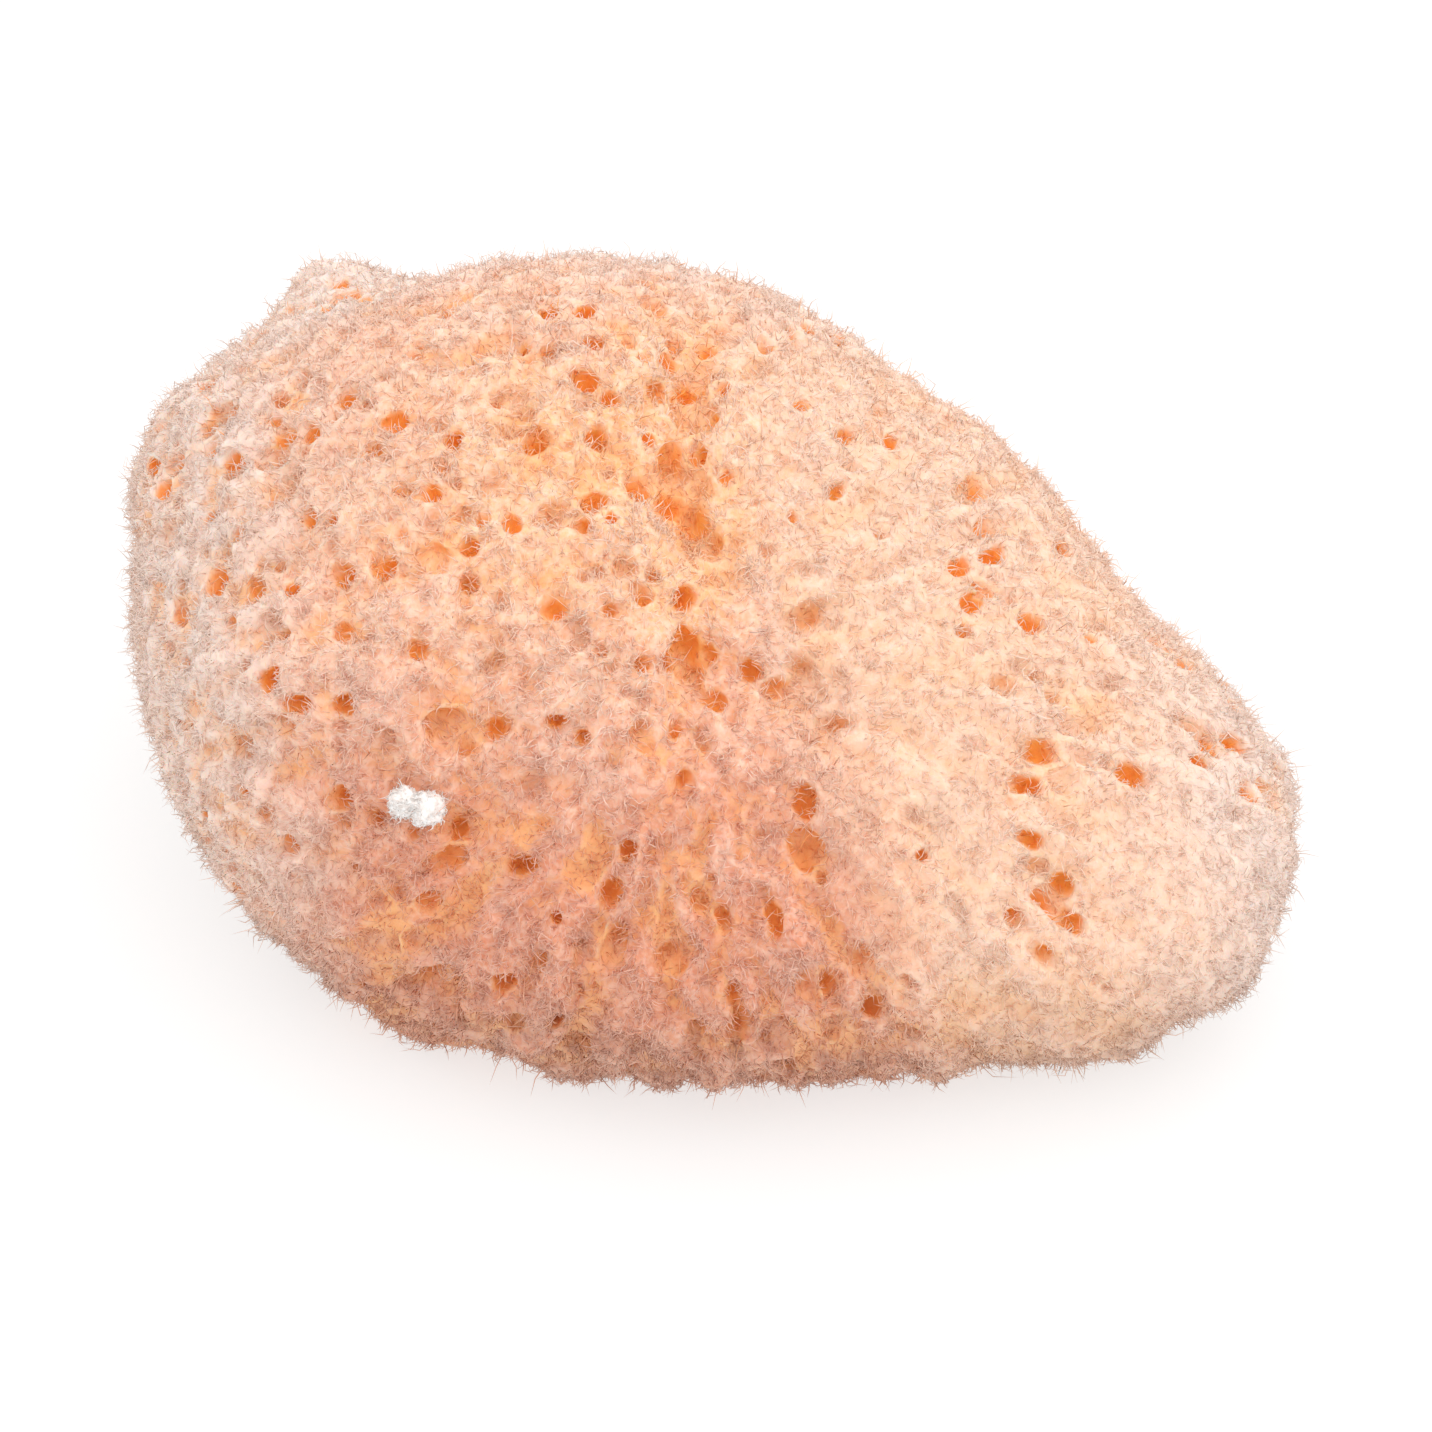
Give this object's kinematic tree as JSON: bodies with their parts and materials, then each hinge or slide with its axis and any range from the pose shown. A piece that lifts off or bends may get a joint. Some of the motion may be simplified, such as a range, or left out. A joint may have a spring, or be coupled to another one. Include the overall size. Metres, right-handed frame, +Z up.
{
  "type": "sea sponge",
  "caption": "Dry natural bath sponge: a rounded, lobed block of springy fibre with a deep crease, fluted front and many outflow pits, trimmed flat underneath.",
  "frame": {"origin": "the middle of the outline box, at the height of the cut face the sponge rests on", "axes": "+X along the length towards the lower, narrower lobe, +Z up away from the cut face, -Y towards whoever looks at the fluted front"},
  "size_m": [0.15, 0.112, 0.08],
  "materials": {
    "sponge": "dry, matt, fibrous, peach with paler tips and orange pits"
  },
  "bodies": {
    "root": {"sponge": "sponge"}
  },
  "joints": []
}
